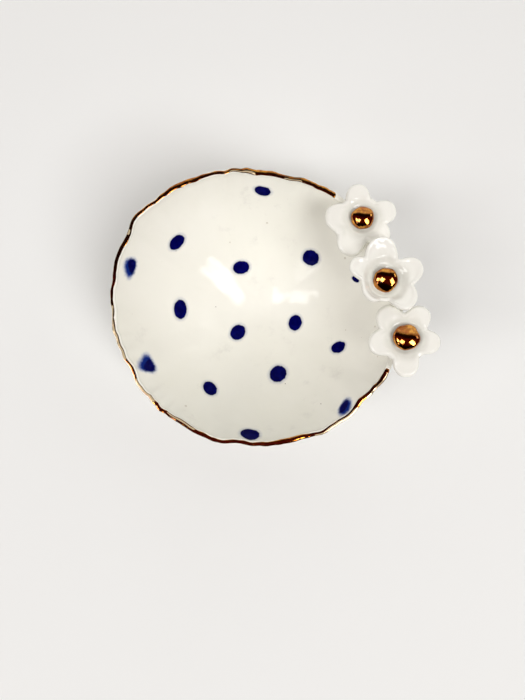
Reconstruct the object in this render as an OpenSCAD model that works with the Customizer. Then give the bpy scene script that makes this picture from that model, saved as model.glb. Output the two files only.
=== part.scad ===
// Ring dish: a small hand-pinched porcelain bowl with a wavy gilded lip, brushed dots inside
// and three five-petal flowers with gold ball centres standing on the rim.
// Millimetres. +Z is up, the origin is the middle of the flat foot, the flowers stand on the +X side.

/* [Bowl] */
// Mean radius of the rim, measured to the middle of the lip
rim_mean_r = 50.4; // [42:0.5:62]
// Mean height of the rim above the foot
rim_h = 40; // [32:1:52]
// Radius of the flat foot
foot_r = 19; // [14:1:22]
// Thickness of the floor at its middle
floor_t = 3.5; // [2.5:0.5:5]
// Thickness of the rounded lip
lip_t = 2.0; // [1.6:0.1:2.6]
// How far the hand-built outline wanders from round, at most
rim_wander_w = 2.9; // [2:0.1:3.2]
// How far the rim rises and falls, each way
rim_wave_h = 0.5; // [0:0.1:0.8]
// How far the pinched ripples push the outline in and out
rim_ripple_w = 0.35; // [0:0.05:0.5]

/* [Gold line] */
// Thickness of the lustre over the lip
gold_t = 0.25; // [0.15:0.05:0.4]
// How far the line runs down the outside of the lip
gold_down = 1.2; // [0.8:0.1:2]
// Angle where the line starts, beside the back flower
gold_start = 54; // [50:1:64]
// Angle where the line ends, beside the front flower
gold_end = 336; // [320:1:338]

/* [Dots] */
// Depth of the blue colour in the wall
dot_depth = 0.4; // [0.3:0.1:0.8]
// Mean length of a brushed dot
dot_len = 6.8; // [4.4:0.2:7.2]
// Mean width of a brushed dot
dot_w = 5.6; // [3.6:0.2:6]

/* [Flowers] */
// Mean petal length of the back flower, from its centre
back_len = 12.6; // [11.5:0.1:14]
// Mean petal length of the middle flower, from its centre
mid_len = 14; // [12.5:0.1:15]
// Mean petal length of the front flower, from its centre
front_len = 13.2; // [12:0.1:14.5]
// Radius at which neighbouring petals part
valley_r = 8.8; // [8.6:0.2:10]
// How far the cupped petals of the middle flower rise
cup_rise = 4.2; // [3:0.1:4.6]
// How far the flatter petals of the outer flowers rise
edge_rise = 0.8; // [0.4:0.1:1.2]
// Thickness of a petal near its rounded edge
petal_t = 2.2; // [1.8:0.1:3]
// Thickness of a flower round its dimple
flower_t = 3.0; // [2.6:0.1:4]
// Depth of the dimple that holds the bead
dimple_d = 0.9; // [0.5:0.1:1.4]
// Gap between a bead and the edge of its dimple, seen from above
dimple_gap = 1.2; // [0.8:0.1:1.6]
// Radius of the flat back of a flower
flat_r = 5.6; // [5:0.1:6]
// Height of a bead above its widest place, against its radius
bead_rise = 0.58; // [0.5:0.02:1]
// Radius of the back flower's bead
back_bead_r = 3.95; // [3.2:0.05:4.6]
// Radius of the middle flower's bead
mid_bead_r = 4.15; // [3.2:0.05:4.8]
// Radius of the front flower's bead
front_bead_r = 4.5; // [3.4:0.05:4.8]

/* [Flower places] */
// Angle of the middle flower on the rim
mid_angle = 10.3; // [6:0.1:14]
// How far the middle flower's centre lies inside the lip
mid_inset = 5.7; // [4.5:0.1:6.5]
// How far the back flower's centre lies inside the lip
back_inset = 1.5; // [0.5:0.1:2.5]
// How far the front flower's centre lies outside the lip
front_outset = 1.8; // [1:0.1:2.4]
// How deep the middle and back flowers' petals lap, along the rim
back_lap = 4.7; // [3.5:0.1:5.2]
// How deep the middle and front flowers' petals mesh, along the rim
front_lap = 7.9; // [6.5:0.1:8.8]
// Least thickness of the joining slip under a flower
seat_h = 0.9; // [0.6:0.1:1.5]
// Clearance between lapped petals
lap_gap = 0.4; // [0.3:0.1:0.8]
// How far the middle flower's own cup already lifts its petals over its neighbours
lap_lift = 1.4; // [1:0.1:1.4]

/* [Hidden] */

// Colours
GLAZE = "#f1ece0";
PETAL = "#f7f5ef";
NAVY = "#0a0a55";
GOLD = "#c8893c";
SLIP = "#ece6d8";

// Outline: share of the greatest wander from round, every 20 degrees from +X
rim_wander = [0.9, 0.66, 0.14, -0.38, -0.76, -0.31, 0, 0.66, 0.14, -0.21, -0.59, -0.52, -0.72, -0.41, -0.55,
    0.3, 0.5, 1];
// Pinched ripples and slow waves of the rim: share, number round the rim, start
rim_ripples = [[0.6, 27, 40], [0.4, 17, 100]];
rim_waves = [[0.5, 2, 50], [0.3, 5, 0], [0.2, 18, 20]];

// Wall: height along the inside is a soft power curve that turns up at the lip
bowl_power = 1.9;
wall_power = 1.2;
turn_power = 8;
turn_share = 0.12;

// Mesh of the bowl
around = 108;
turn_step = 360 / around;
inner_rings = 9;
outer_rings = 8;
lip_rings = 4;
lip_arc = 150;
lip_arc_waves = [[22, 11, 0]];
gold_waves = [[0.25, 7, 0]];

// Lip: the seats reach this far down the inside of the lip
seat_down = 2.4;
seat_spread = 3.2;
seat_steps = 2;
flat_margin = 0.6;

// Petals: half the angle a petal spans, and how blunt its outline is
petals = 5;
petal_turn = 360 / petals;
petal_half = 33;
petal_blunt = 1.3;
petal_power = 1.4;
petal_join = 3;
blend_spread = 28;
cup_power = 1.5;

// Mesh of a flower: rings on the petals, then the rounded edge as shares of the petal's thickness
flower_around = 60;
petal_rings = [0.35, 0.7, 1];
edge_in = 0.9;
edge_round = 0.3;
edge_drop = 0.15;
edge_middle = 0.5;
back_ring_at = 0.5;
dimple_ring_at = 0.6;
bead_sink = 0.65;
floor_margin = 0.3;

function sum(list, i = 0) = i >= len(list) ? 0 : list[i] + sum(list, i + 1);
function waves(list, a) = sum([for (w = list) w[0] * sin(w[1] * a + w[2])]);

// Smooth closed curve through a list of evenly spaced values, at an angle
function pick(list, i) = list[((i % len(list)) + len(list)) % len(list)];
function curve4(p, q, r, s, f) =
    0.5 * (2 * q + (r - p) * f + (2 * p - 5 * q + 4 * r - s) * f * f + (3 * q - p - 3 * r + s) * f * f * f);
function along(list, a) =
    let (x = a * len(list) / 360, i = floor(x))
    curve4(pick(list, i - 1), pick(list, i), pick(list, i + 1), pick(list, i + 2), x - i);

// Rim: radius and height of the middle of the lip's top, at an angle
function rim_r(a) = rim_mean_r + rim_wander_w * along(rim_wander, a) + rim_ripple_w * waves(rim_ripples, a);
function rim_z(a) = rim_h + rim_wave_h * waves(rim_waves, a);

// A point at a radius, angle and height
function polar(r, a, z) = [r * cos(a), r * sin(a), z];

// Inside of the bowl: u runs from 0 at the centre to 1 at the lip
function rise(u, power) = (1 - turn_share) * pow(u, power) + turn_share * pow(u, turn_power);
function inner_r(u, a) = u * (rim_mean_r - lip_t / 2 + (rim_r(a) - rim_mean_r) * u * u);
function inner_z(u, a) = floor_t + (rim_z(a) - lip_t / 2 - floor_t) * rise(u, bowl_power);
function inner(u, a) = polar(inner_r(u, a), a, inner_z(u, a));

// Outside of the bowl: v runs from 0 at the foot's edge to 1 at the lip
function outer(v, a) =
    polar(foot_r + (rim_r(a) + lip_t / 2 - foot_r) * v, a, (rim_z(a) - lip_t / 2) * rise(v, wall_power));

// Lip: b runs from 180 at the inside over 90 at the top to 0 at the outside
function lip(a, b, proud = 0) =
    let (r = lip_t / 2 + proud)
    polar(rim_r(a) + r * cos(b), a, rim_z(a) - lip_t / 2 + r * sin(b));

// Edges of the seats and of the gold line, where the bowl has rings of its own
rim_slope = (1 - turn_share) * bowl_power + turn_share * turn_power;
seat_u = 1 - seat_down / norm([rim_mean_r, (rim_h - floor_t) * rim_slope]);
function gold_v(a) = 1 - gold_down * (1 + waves(gold_waves, a)) / norm([rim_mean_r - foot_r, rim_h]);
function lip_b(a, i) = (lip_arc + waves(lip_arc_waves, a)) * (1 - i / (lip_rings - 1));

// Every ring of the bowl at one angle, from the inside over the lip to the foot
function wall(a) = concat(
    [for (i = [1:inner_rings]) inner(seat_u * i / inner_rings, a)],
    [inner(1, a)],
    [for (i = [0:lip_rings - 1]) lip(a, lip_b(a, i))],
    [for (i = [outer_rings:-1:0]) outer(gold_v(a) * i / outer_rings, a)]
);
first_lip = inner_rings + 1;
last_lip = first_lip + lip_rings - 1;
gold_edge = last_lip + 1;
first_seat = inner_rings - 1;
seat_crest = 3;

// Faces of a closed skin: rings of n points between a first and a last centre point
function skin_faces(n, rings) = concat(
    [for (j = [0:n - 1]) [0, 2 + (j + 1) % n, 2 + j]],
    [for (k = [0:rings - 2], j = [0:n - 1])
        let (a = 2 + k * n + j, b = 2 + k * n + (j + 1) % n)
        each [[a, b, b + n], [a, b + n, a + n]]],
    [for (j = [0:n - 1]) let (k = 2 + (rings - 1) * n) [1, k + j, k + (j + 1) % n]]
);
module skin(first, rings, last) {
    polyhedron(
        concat([first, last], [for (ring = rings) each ring]),
        skin_faces(len(rings[0]), len(rings))
    );
}

// Faces of a bar that joins sections of m points, with its two ends closed by the listed triangles
function bar_faces(sections, m, end) = concat(
    [for (j = [0:sections - 2], k = [0:m - 1])
        let (a = j * m + k, c = j * m + (k + 1) % m)
        each [[a, c + m, a + m], [a, c, c + m]]],
    [for (t = end) [t[2], t[1], t[0]]],
    [for (t = end) [for (i = t) i + (sections - 1) * m]]
);
module bar(sections, end) {
    polyhedron([for (s = sections) each s], bar_faces(len(sections), len(sections[0]), end));
}

// Bowl
module bowl_body() {
    walls = [for (j = [0:around - 1]) wall(j * turn_step)];
    skin([0, 0, floor_t], [for (k = [0:len(walls[0]) - 1]) [for (w = walls) w[k]]], [0, 0, 0]);
}

// Dots: share of the way to the lip, angle, length and width against the mean, turn from the rim's direction
dots = [
    [0.21, 230, 1.02, 1.04, 90],
    [0.36, 347, 0.94, 1.02, 4],
    [0.40, 105, 0.98, 0.98, -5],
    [0.55, 292, 1.10, 1.22, 60],
    [0.60, 178, 1.10, 1.04, 0],
    [0.64, 43, 1.02, 1.10, 55],
    [0.72, 241, 0.93, 1.00, -45],
    [0.72, 337, 0.90, 0.80, -60],
    [0.785, 138, 1.00, 0.89, 0],
    [0.82, 17, 0.90, 0.86, 0],
    [0.915, 208, 1.10, 1.20, -60],
    [0.925, 85, 0.87, 0.76, -5],
    [0.945, 161, 0.98, 0.93, 14],
    [0.965, 313, 1.02, 0.90, 30],
    [0.965, 269, 1.03, 1.00, -30]
];
dot_points = 20;
dot_uneven = 0.05;
slope_step = 0.01;
function wall_slope(u, a) =
    let (p = u - slope_step, q = u + slope_step)
    atan2(inner_z(q, a) - inner_z(p, a), inner_r(q, a) - inner_r(p, a));
function dot_outline(length, width) =
    [for (i = [0:dot_points - 1])
        let (t = i * 360 / dot_points, uneven = 1 + dot_uneven * sin(3 * t))
        [width / 2 * cos(t) * uneven, length / 2 * sin(t) * uneven]];

module dot_prism(d) {
    slope = wall_slope(d[0], d[1]);
    translate(inner(d[0], d[1]))
        rotate([0, 0, d[1]])
            rotate([0, -slope, 0])
                rotate([0, 0, d[4]])
                    translate([0, 0, -dot_depth])
                        linear_extrude(height = 2 * dot_depth + dot_len / 3)
                            polygon(dot_outline(dot_len * d[2], dot_w * d[3]));
}
module dot_prisms() {
    for (d = dots) dot_prism(d);
}

module bowl() {
    color(GLAZE) difference() {
        bowl_body();
        dot_prisms();
    }
}
module blue_dots() {
    color(NAVY) intersection() {
        bowl_body();
        dot_prisms();
    }
}

// Gold line: a thin crescent over the lip that feathers out at both edges
gold_first = round(gold_start / turn_step);
gold_last = round(gold_end / turn_step);
function gold_section(a) =
    let (w = wall(a))
    concat(
        [for (k = [first_lip:gold_edge]) w[k]],
        [for (i = [lip_rings - 1:-1:1]) lip(a, lip_b(a, i), gold_t)]
    );
gold_end_faces = [[0, 1, 7], [1, 2, 7], [2, 6, 7], [2, 3, 6], [3, 5, 6], [3, 4, 5]];

module gold_rim() {
    color(GOLD) bar([for (j = [gold_first:gold_last]) gold_section(j * turn_step)], gold_end_faces);
}

// Flowers: place, length and turn, then for each petal, clockwise from the top one, its share of the length,
// its swing from an even fifth, its width, the valley after it and its rise; spoon is the rise of the folds
function flower(angle, inset, length, first, petal, rise, spoon, lean, lean_to, bead_r, raise) =
    [angle, inset, length, first, petal, rise, spoon, lean, lean_to, bead_r, raise];
function f_angle(f) = f[0];
function f_inset(f) = f[1];
function f_len(f) = f[2];
function f_first(f) = f[3];
function f_petal(f, k) = f[4][k];
function f_rise(f) = f[5];
function f_spoon(f) = f[6];
function f_lean(f) = f[7];
function f_lean_to(f) = f_angle(f) + f[8];
function f_bead_r(f) = f[9];
function f_raise(f) = f[10];
function petal_len(f, k) = f_len(f) * f_petal(f, k)[0];
function petal_angle(f, k) = f_angle(f) + f_first(f) - petal_turn * k + f_petal(f, k)[1];
function petal_reach(f, k) = petal_half * f_petal(f, k)[2];

// Flower places: neighbours are spaced by their petals and by how deep these lap
mid_r = rim_mean_r - mid_inset;
back_angle = mid_angle + (back_len + mid_len - back_lap) / mid_r * 180 / PI;
front_angle = mid_angle - (front_len + mid_len - front_lap) / rim_mean_r * 180 / PI;
mid_raise = petal_t + lap_gap - lap_lift;

back_petals = [
    [0.97, 1, 1, 0.89, 1],
    [0.98, -9, 1, 0.97, 0.6],
    [0.95, 4, 1, 0.98, 0],
    [1.10, 5, 1.05, 1.2, 0.75],
    [1.03, 3, 1, 1, 1]
];
middle_petals = [
    [1.03, 7, 1.25, 1, 1.1],
    [0.98, 4, 1, 1.14, 0.81],
    [0.93, 8, 1.1, 0.82, 0.86],
    [0.66, -12, 1, 1, 1.24],
    [0.98, -9, 0.8, 1.12, 0.95]
];
front_petals = [
    [1.02, 0, 1, 1.02, 0.25],
    [0.96, 0, 1, 0.94, 0.4],
    [0.92, 4, 1, 0.97, 1],
    [1.05, -1, 1, 1.02, 1],
    [0.99, -8, 1, 1.09, 1]
];
back = flower(
    back_angle, back_inset, back_len, 59.9, back_petals, edge_rise, 0.38, 3, 180, back_bead_r, 0
);
middle = flower(
    mid_angle, mid_inset, mid_len, 81.5, middle_petals, cup_rise, 0.19, 5, 40, mid_bead_r, mid_raise
);
front = flower(
    front_angle, -front_outset, front_len, 140, front_petals, edge_rise, 0.38, 6, 180, front_bead_r, 0
);

// Outline and rise of a flower at an angle
function wrap(a) = a - 360 * round(a / 360);
function joined(list) = pow(sum([for (x = list) pow(x, petal_join)]), 1 / petal_join);
function lobe(f, k, a) =
    let (x = min(1, abs(wrap(a - petal_angle(f, k))) / petal_reach(f, k)))
    pow(max(0, cos(90 * pow(x, petal_blunt))), petal_power);
function blend(f, field, shift, a) =
    let (w = [for (k = [0:petals - 1]) exp(-pow(wrap(a - petal_angle(f, k) - shift) / blend_spread, 2))])
    sum([for (k = [0:petals - 1]) f_petal(f, k)[field] * w[k]]) / sum(w);
function outline(f, a) =
    let (valley = valley_r * blend(f, 3, -petal_turn / 2, a))
    valley + joined([for (k = [0:petals - 1]) max(0, petal_len(f, k) - valley) * lobe(f, k, a)]);
function cup(f, a) = f_rise(f) * blend(f, 4, 0, a);
function fold(f, a) = max(0, 1 - joined([for (k = [0:petals - 1]) lobe(f, k, a)]));
function out_share(f, r) = max(0, (r - flat_r) / (f_len(f) - flat_r));
function under_z(f, r, a) =
    let (t = out_share(f, r))
    cup(f, a) * pow(t, cup_power) + f_rise(f) * f_spoon(f) * fold(f, a) * t;
function over_z(f, r, a) =
    under_z(f, r, a) + flower_t + (petal_t - flower_t) * min(1, out_share(f, r));

function dimple_r(f) = f_bead_r(f) + dimple_gap;
function bead_flat_r(f) = f_bead_r(f) * sqrt(1 - bead_sink * bead_sink);
dimple_z = flower_t - dimple_d;

// One ring round a flower: a share of the way from the dimple, or from the flat back, to the petal's edge
function top_ring(f, share, inset, drop) =
    [for (j = [0:flower_around - 1])
        let (a = j * 360 / flower_around, r0 = dimple_r(f), r = r0 + (outline(f, a) - inset - r0) * share)
        polar(r, a, over_z(f, r, a) - drop)];
function back_ring(f, share, inset, lift) =
    [for (j = [0:flower_around - 1])
        let (a = j * 360 / flower_around, r = flat_r + (outline(f, a) - inset - flat_r) * share)
        polar(r, a, under_z(f, r, a) + lift)];
function flat_ring(r, z) = [for (j = [0:flower_around - 1]) polar(r, j * 360 / flower_around, z)];

function flower_rings(f) =
    let (r0 = bead_flat_r(f) + floor_margin, r1 = dimple_r(f))
    [
        flat_ring(r0, dimple_z),
        flat_ring(r0 + (r1 - r0) * dimple_ring_at, dimple_z + dimple_d * dimple_ring_at),
        flat_ring(r1, flower_t),
        for (share = petal_rings) top_ring(f, share, edge_in, 0),
        top_ring(f, 1, edge_round, petal_t * edge_drop),
        top_ring(f, 1, 0, petal_t * edge_middle),
        back_ring(f, 1, edge_round, petal_t * edge_drop),
        back_ring(f, 1, edge_in, 0),
        back_ring(f, back_ring_at, edge_in, 0),
        flat_ring(flat_r, 0)
    ];

// Plane of a flower's back: its height over a point of the rim, so that the slip keeps its thickness
function lean_drop(f, p, c) =
    tan(f_lean(f)) * ((p[0] - c[0]) * cos(f_lean_to(f)) + (p[1] - c[1]) * sin(f_lean_to(f)));
function flower_xy(f) = polar(rim_r(f_angle(f)) - f_inset(f), f_angle(f), 0);
function clear_z(f, a, b, gap) =
    let (p = lip(a, b))
    p[2] + gap + lean_drop(f, p, flower_xy(f));
function flower_z(f) =
    let (reach = f_len(f) / rim_mean_r * 180 / PI, at = f_angle(f))
    f_raise(f) + max([
        for (a = [at - reach:turn_step / 2:at + reach], b = [0:45:180]) clear_z(f, a, b, seat_h)
    ]);
function flower_at(f) = flower_xy(f) + [0, 0, flower_z(f)];

module stand(f) {
    translate(flower_at(f))
        rotate([0, 0, f_lean_to(f)])
            rotate([0, f_lean(f), 0])
                rotate([0, 0, -f_lean_to(f)])
                    children();
}
module flower_body(f) {
    color(PETAL) stand(f) skin([0, 0, dimple_z], flower_rings(f), [0, 0, 0]);
}
module bead_body(f) {
    r = f_bead_r(f);
    color(GOLD) stand(f) translate([0, 0, dimple_z]) difference() {
        translate([0, 0, bead_sink * bead_rise * r]) scale([1, 1, bead_rise]) sphere(r = r, $fn = 48);
        translate([0, 0, -r]) cube([4 * r, 4 * r, 2 * r], center = true);
    }
}

// Seats: slip that follows the lip below, as far as the ring `last`, and lies flat on the flower's back above
function on_back(f, r, a) =
    let (p = polar(r, a, 0), at = flower_at(f))
    [p[0], p[1], at[2] - lean_drop(f, p, at)];
function seat_shift(f) = min(0, flat_r - flat_margin - f_inset(f) - seat_spread / 2);
function seat_section(f, a, last) =
    let (w = wall(a), r = rim_r(a) + seat_shift(f))
    concat(
        [for (k = [first_seat:last]) w[k]],
        [on_back(f, r + seat_spread / 2, a), on_back(f, r - seat_spread / 2, a)]
    );
function seat_end_faces(m) = concat(
    [for (i = [0:seat_crest - 1]) [i, i + 1, m - 1]],
    [[seat_crest, m - 2, m - 1]],
    [for (i = [seat_crest:1:m - 4]) [i, i + 1, m - 2]]
);

module seat_body(f, last) {
    j = round(f_angle(f) / turn_step);
    sections = [for (i = [j - seat_steps:j + seat_steps]) seat_section(f, i * turn_step, last)];
    color(SLIP) bar(sections, seat_end_faces(len(sections[0])));
}

module seat_back() seat_body(back, last_lip);
module seat_middle() seat_body(middle, first_lip + 1);
module seat_front() seat_body(front, last_lip);
module flower_back() flower_body(back);
module flower_middle() flower_body(middle);
module flower_front() flower_body(front);
module bead_back() bead_body(back);
module bead_middle() bead_body(middle);
module bead_front() bead_body(front);

bowl();
blue_dots();
gold_rim();
seat_back();
seat_middle();
seat_front();
flower_back();
flower_middle();
flower_front();
bead_back();
bead_middle();
bead_front();
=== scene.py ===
import math

import bpy
import numpy as np
from mathutils import Matrix, Vector, noise


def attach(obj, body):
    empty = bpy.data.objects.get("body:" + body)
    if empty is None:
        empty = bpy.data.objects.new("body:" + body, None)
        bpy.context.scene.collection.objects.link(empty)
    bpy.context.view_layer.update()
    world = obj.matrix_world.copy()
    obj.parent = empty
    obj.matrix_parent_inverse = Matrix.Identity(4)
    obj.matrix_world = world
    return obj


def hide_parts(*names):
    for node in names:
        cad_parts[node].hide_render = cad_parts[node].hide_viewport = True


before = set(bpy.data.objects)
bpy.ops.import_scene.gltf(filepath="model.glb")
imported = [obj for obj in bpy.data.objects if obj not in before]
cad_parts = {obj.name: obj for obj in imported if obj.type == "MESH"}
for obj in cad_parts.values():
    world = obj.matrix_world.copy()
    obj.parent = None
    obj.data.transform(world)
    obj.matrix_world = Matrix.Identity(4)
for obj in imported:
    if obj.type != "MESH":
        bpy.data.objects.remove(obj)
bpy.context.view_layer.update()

MM = 0.001

# Bowl, in millimetres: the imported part's sizes, with a flatter lip and the marks of pinching fingers
RIM_R = 50.4
RIM_H = 40.0
FOOT_R = 19.0
FLOOR_T = 3.5
LIP_T = 2.0
LIP_FLAT = 0.62
LIP_CORNER = 0.6
RIM_WAVE_H = 0.5
RIM_RIPPLE_W = 0.35
PINCH_W = 0.2
PINCH_H = 0.08
RIM_WANDER_W = 2.9
# Outline every 20 degrees from +X, as a share of the greatest wander from round
RIM_WANDER = [0.9, 0.66, 0.14, -0.38, -0.76, -0.31, 0, 0.66, 0.14, -0.21, -0.59, -0.52, -0.72, -0.41, -0.55,
              0.3, 0.5, 1]
# Places where a finger pushed the rim in or out: angle, millimetres
PUSHES = [(84, -0.5), (108, -0.4), (117, 0.4), (134, -0.7), (142, 0.4), (150, -1.2), (156, 0.4), (170, -0.3),
          (195, 0.4), (208, -0.6), (246, 0.5), (265, -0.6), (276, 0.6), (286, 0.4), (295, -0.8), (300, 0.5),
          (307, -0.3), (313, 0.5), (320, -0.7), (329, 0.8)]
# How far a push spreads each way, in degrees
PUSH_SPREAD = 4.5
BOWL_POWER = 1.9
WALL_POWER = 1.2
TURN_POWER = 8
TURN_SHARE = 0.12
FINGER_DEPTH = 0.22
FOOT_HOLLOW = 0.35

# Gold line and seats of joining slip, in millimetres and degrees
GOLD_T = 0.12
GOLD_START = 52.8
GOLD_END = 335.6
SEAT_H = 0.9
SEAT_SPREAD = 3.2
# How far the slip runs down the inside and the outside, as shares of the wall
SEAT_IN = 0.024
SEAT_OUT = 0.035
SEAT_HALF_TURN = 6.7
FLAT_MARGIN = 0.6

# Flowers, in millimetres and degrees
PETALS = 5
PETAL_TURN = 360 / PETALS
VALLEY_R = 8.8
PETAL_HALF = 33
PETAL_BLUNT = 1.3
PETAL_POWER = 1.4
PETAL_JOIN = 3
PETAL_T = 2.2
FLOWER_T = 3.0
DIMPLE_D = 0.45
DIMPLE_GAP = 1.2
FLAT_R = 5.6
CUP_POWER = 4.5
BLEND_SPREAD = 28
BEAD_SINK = 0.65
BEAD_RISE = 0.58
BEAD_FLOOR = 2.1
LAP_GAP = 0.4
LAP_LIFT = 1.4
BACK_LAP = 4.7
FRONT_LAP = 7.9
# The lip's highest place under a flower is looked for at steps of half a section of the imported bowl
PLACE_STEP = 360 / 108 / 2


def along(values, a):
    """Smooth closed curve through evenly spaced values, at angles in degrees."""
    v = np.asarray(values, float)
    x = np.asarray(a, float) * len(v) / 360
    i = np.floor(x).astype(int)
    f = x - i
    p, q, r, s = (v[(i + k) % len(v)] for k in (-1, 0, 1, 2))
    return 0.5 * (2 * q + (r - p) * f + (2 * p - 5 * q + 4 * r - s) * f**2 + (3 * q - p - 3 * r + s) * f**3)


def smooth(x, lo, hi):
    """Soft step from 0 at lo to 1 at hi."""
    t = np.clip((x - lo) / (hi - lo), 0, 1)
    return t * t * (3 - 2 * t)


def sind(a):
    return np.sin(np.radians(a))


def cosd(a):
    return np.cos(np.radians(a))


def wrap(a):
    """The angle between -180 and 180 degrees."""
    return (a + 180) % 360 - 180


def blend(values, angles, a):
    """Soft mean of the values round a flower, each strongest at its own angle."""
    w = [np.exp(-(wrap(a - at) / BLEND_SPREAD) ** 2) for at in angles]
    return sum(v * x for v, x in zip(values, w)) / sum(w)


def pinch(a):
    """Small scallops that fingertips leave along the rim, uneven in length and depth; about -1 to 1."""
    warped = a + 4.5 * sind(5 * a) + 2.6 * sind(11 * a + 40)
    depth = np.clip(0.5 + 0.45 * sind(3 * a + 130) + 0.4 * sind(8 * a + 20), 0, 1.2)
    return depth * (2 * np.sqrt(sind(22 * warped) ** 2 + 0.03) - 1.2) + 0.35 * sind(61 * a) * sind(2 * a + 70)


def rim_r(a, share=1.0):
    """Radius of the middle of the lip, with the given share of its ripples and pinches."""
    body = RIM_R + RIM_WANDER_W * along(RIM_WANDER, a)
    body = body + sum(mm * np.exp(-((a - at) / PUSH_SPREAD) ** 2) for at, mm in PUSHES)
    ripple = 0.6 * sind(27 * a + 40) + 0.4 * sind(17 * a + 100)
    return body + share * (RIM_RIPPLE_W * ripple + PINCH_W * pinch(a))


def rim_z(a, share=1.0):
    """Height of the middle of the lip, with the given share of its pinches."""
    wave = 0.5 * sind(2 * a + 50) + 0.3 * sind(5 * a) + 0.2 * sind(18 * a + 20)
    return RIM_H + RIM_WAVE_H * wave - share * PINCH_H * np.abs(pinch(a + 1.5))


def rise(u, power):
    return (1 - TURN_SHARE) * u**power + TURN_SHARE * u**TURN_POWER


def polar(r, a, z):
    r, a, z = np.broadcast_arrays(np.asarray(r, float), np.asarray(a, float), np.asarray(z, float))
    return np.stack([r * cosd(a), r * sind(a), z], axis=-1)


def inner(u, a):
    """Inside of the bowl: u runs from 0 at the centre to 1 at the lip."""
    share = smooth(u, 0.86, 1)
    r = u * (RIM_R - LIP_T / 2 + (rim_r(a, share) - RIM_R) * u * u)
    return polar(r, a, FLOOR_T + (rim_z(a, share) - LIP_T / 2 - FLOOR_T) * rise(u, BOWL_POWER))


def outer(v, a):
    """Outside of the bowl: v runs from 0 at the foot's edge to 1 at the lip."""
    share = smooth(v, 0.6, 1)
    r = FOOT_R + (rim_r(a, share) + LIP_T / 2 - FOOT_R) * v
    return polar(r, a, (rim_z(a, share) - LIP_T / 2) * rise(v, WALL_POWER))


def lip(a, b, proud=0.0):
    """The lip is flattened on top with round corners: b runs from 180 inside over 90 on top to 0 outside."""
    wide = (LIP_T / 2 + proud) * np.sign(cosd(b)) * np.abs(cosd(b)) ** LIP_CORNER
    high = (LIP_T / 2 * LIP_FLAT + proud) * np.abs(sind(b)) ** LIP_CORNER
    return polar(rim_r(a) + wide, a, rim_z(a) - LIP_T / 2 * LIP_FLAT + high)


# Mesh helpers: every piece is a grid of points in millimetres, turned into a smooth mesh in metres
def make_mesh(name, points, faces):
    mesh = bpy.data.meshes.new(name)
    mesh.from_pydata([tuple(p) for p in np.asarray(points) * MM], [], faces)
    mesh.validate()
    mesh.update()
    mesh.polygons.foreach_set("use_smooth", [True] * len(mesh.polygons))
    obj = bpy.data.objects.new(name, mesh)
    bpy.context.scene.collection.objects.link(obj)
    return obj


def skin(name, first, rings, last):
    """Closed skin: rings of points between two centre points, counterclockwise seen from over the first."""
    n = len(rings[0])
    count = len(rings)
    points = np.concatenate([[first, last], np.concatenate(rings)])
    at = lambda k, j: 2 + k * n + j % n
    faces = [(0, at(0, j), at(0, j + 1)) for j in range(n)]
    for k in range(count - 1):
        faces += [(at(k, j), at(k + 1, j), at(k + 1, j + 1), at(k, j + 1)) for j in range(n)]
    faces += [(1, at(count - 1, j + 1), at(count - 1, j)) for j in range(n)]
    return make_mesh(name, points, faces)


def bar(name, sections):
    """Closed bar: sections of points joined in turn, with a fan at either end."""
    m = len(sections[0])
    count = len(sections)
    ends = [np.mean(sections[0], axis=0), np.mean(sections[-1], axis=0)]
    points = np.concatenate([ends, np.concatenate(sections)])
    at = lambda j, k: 2 + j * m + k % m
    faces = [(0, at(0, k + 1), at(0, k)) for k in range(m)]
    for j in range(count - 1):
        faces += [(at(j, k), at(j, k + 1), at(j + 1, k + 1), at(j + 1, k)) for k in range(m)]
    faces += [(1, at(count - 1, k), at(count - 1, k + 1)) for k in range(m)]
    return make_mesh(name, points, faces)


def paint(obj, name, values):
    """Give each point of a piece a number that its finish reads."""
    layer = obj.data.attributes.new(name, "FLOAT", "POINT")
    layer.data.foreach_set("value", np.asarray(values, np.float32))


def rough(points, size, seed):
    """Soft noise, about -1 to 1, at points in millimetres."""
    shift = Vector((seed * 7.3, seed * 3.1, seed * 5.7))
    flat = points.reshape(-1, 3)
    values = [noise.noise(Vector(p) / size + shift) for p in flat]
    return np.array(values).reshape(points.shape[:-1]) * 1.6


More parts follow.
